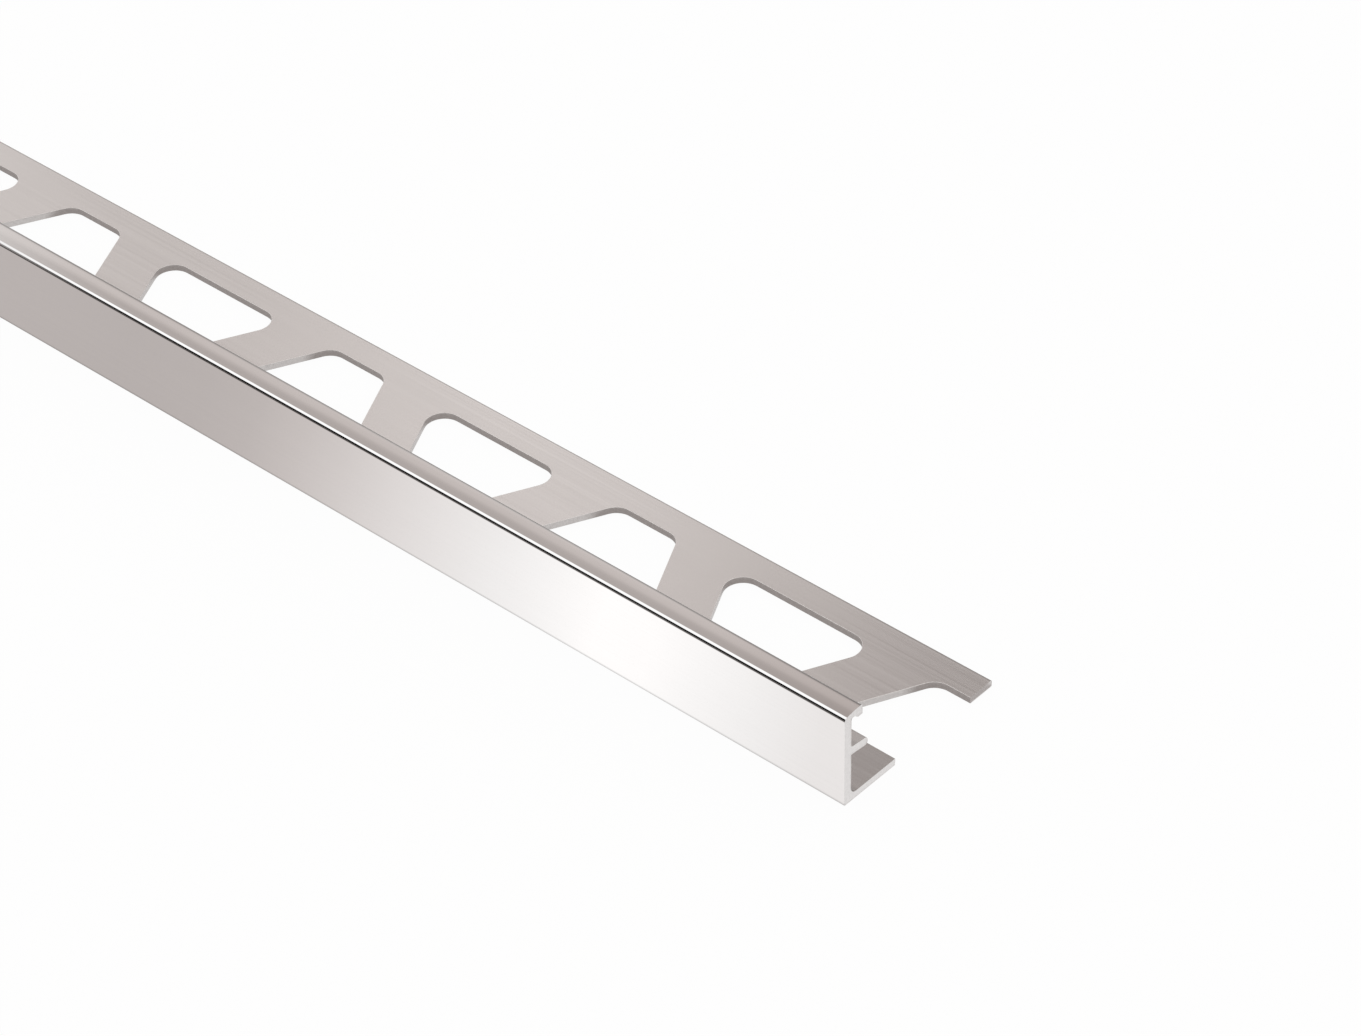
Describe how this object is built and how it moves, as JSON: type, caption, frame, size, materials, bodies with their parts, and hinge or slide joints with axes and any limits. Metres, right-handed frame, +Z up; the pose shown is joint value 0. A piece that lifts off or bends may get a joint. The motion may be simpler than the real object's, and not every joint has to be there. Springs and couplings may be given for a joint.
{
  "type": "tile edge trim",
  "caption": "Long metal tile edge trim: square-edge angle with a crowned lip, a spacer rib on its wall and a leg punched with alternating rounded trapezoid holes.",
  "frame": {"origin": "bottom centre of the bounding box: mid length, midway between the outer wall face and the leg's back edge, on the underside of the leg", "axes": "+X along the length towards the end that the picture shows, +Y from the outer wall face to the leg's back edge, +Z up"},
  "size_m": [1, 0.025, 0.0125],
  "materials": {
    "polished_aluminium": "bright polished outer wall, satin lip, leg and inner faces"
  },
  "bodies": {
    "root": {"edge_trim_profile": "polished_aluminium"}
  },
  "joints": []
}
